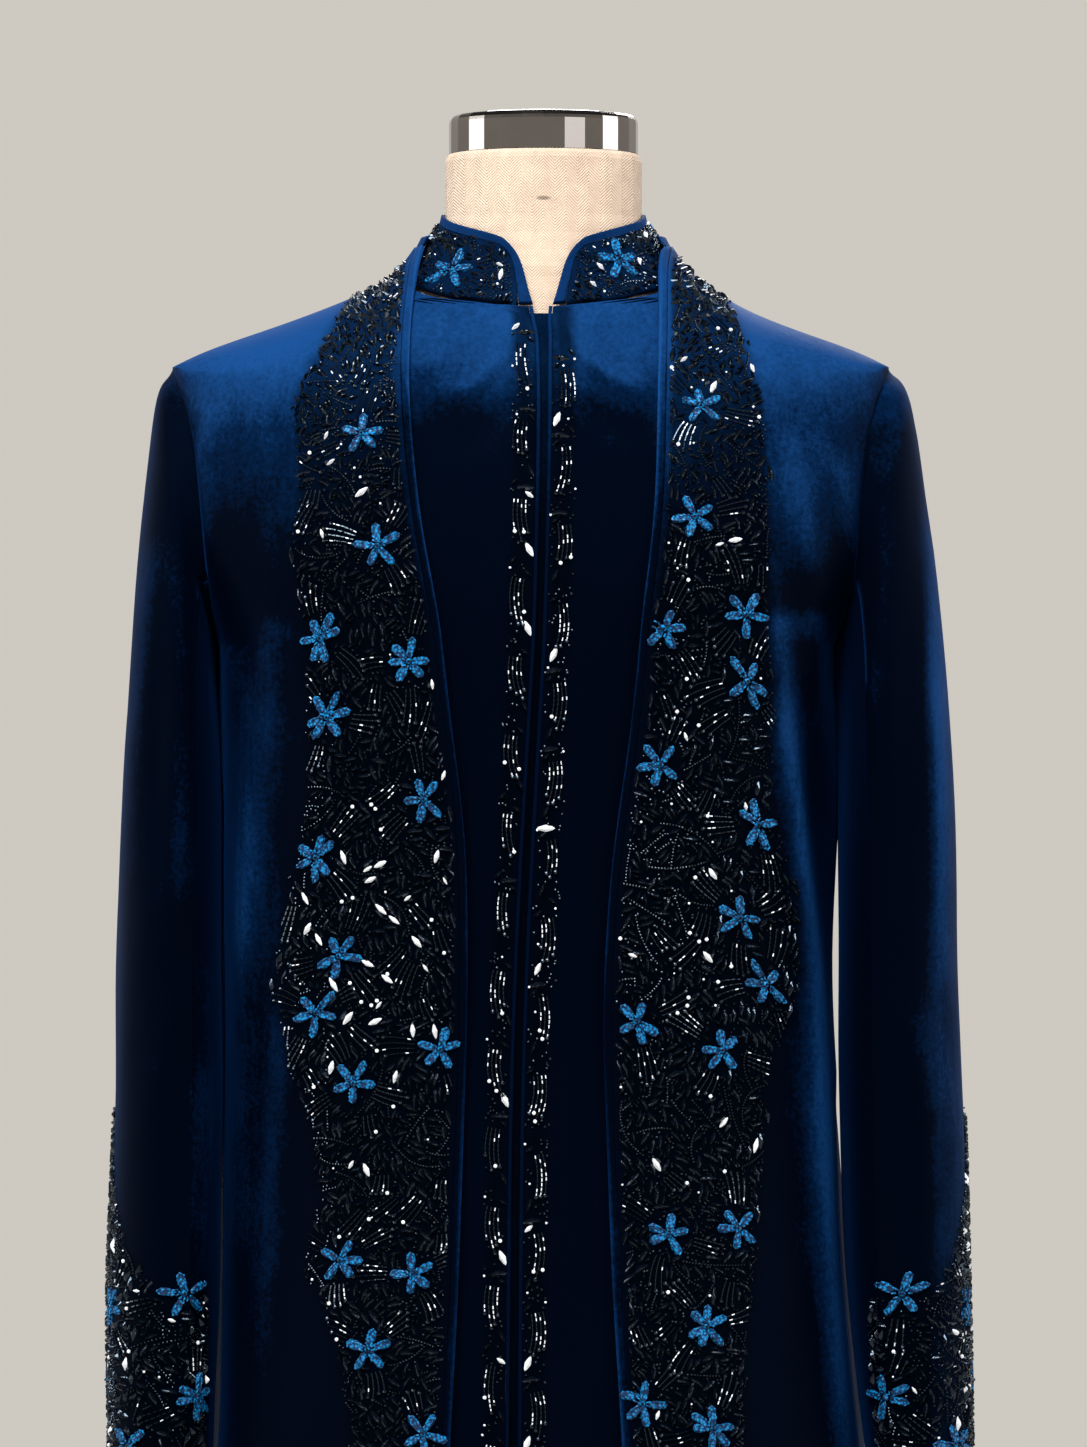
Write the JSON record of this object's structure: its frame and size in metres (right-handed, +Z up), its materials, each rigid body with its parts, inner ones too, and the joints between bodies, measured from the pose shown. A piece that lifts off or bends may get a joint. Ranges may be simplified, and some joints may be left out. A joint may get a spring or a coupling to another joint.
{
  "type": "sherwani on a dress form",
  "caption": "Two-layer beaded velvet sherwani, a band-collar coat under an open over-coat with sleeves, on a dress form with a neck cap, a pole and a round base.",
  "frame": {"origin": "middle of the round base's flat underside, on the floor", "axes": "+Z up the pole, -Y out of the garment's front, +X towards the wearer's left"},
  "size_m": [0.5369, 0.38, 1.5813],
  "materials": {
    "velvet": "navy silk velvet with a blue sheen",
    "trim": "plain navy satin binding",
    "linen": "coarse natural linen",
    "chrome": "polished",
    "steel": "satin",
    "beads": "cut glass beads, black and dark blue",
    "stones": "clear and white stones and beads",
    "petals": "bright blue thread flowers"
  },
  "bodies": {
    "root": {"over_front_right": "velvet", "over_front_left": "velvet", "over_back": "velvet", "over_edge_right": "trim", "over_edge_left": "trim", "over_neck_band": "trim", "sleeve_top_right": "velvet", "sleeve_under_right": "velvet", "sleeve_top_left": "velvet", "sleeve_under_left": "velvet", "inner_front_right": "velvet", "inner_front_left": "velvet", "inner_back": "velvet", "placket_piping_right": "trim", "placket_piping_left": "trim", "placket_underlap": "velvet", "band_collar": "velvet", "collar_binding": "trim", "form_torso": "linen", "form_cap": "chrome", "form_pole": "steel", "form_base": "steel"}
  },
  "joints": []
}
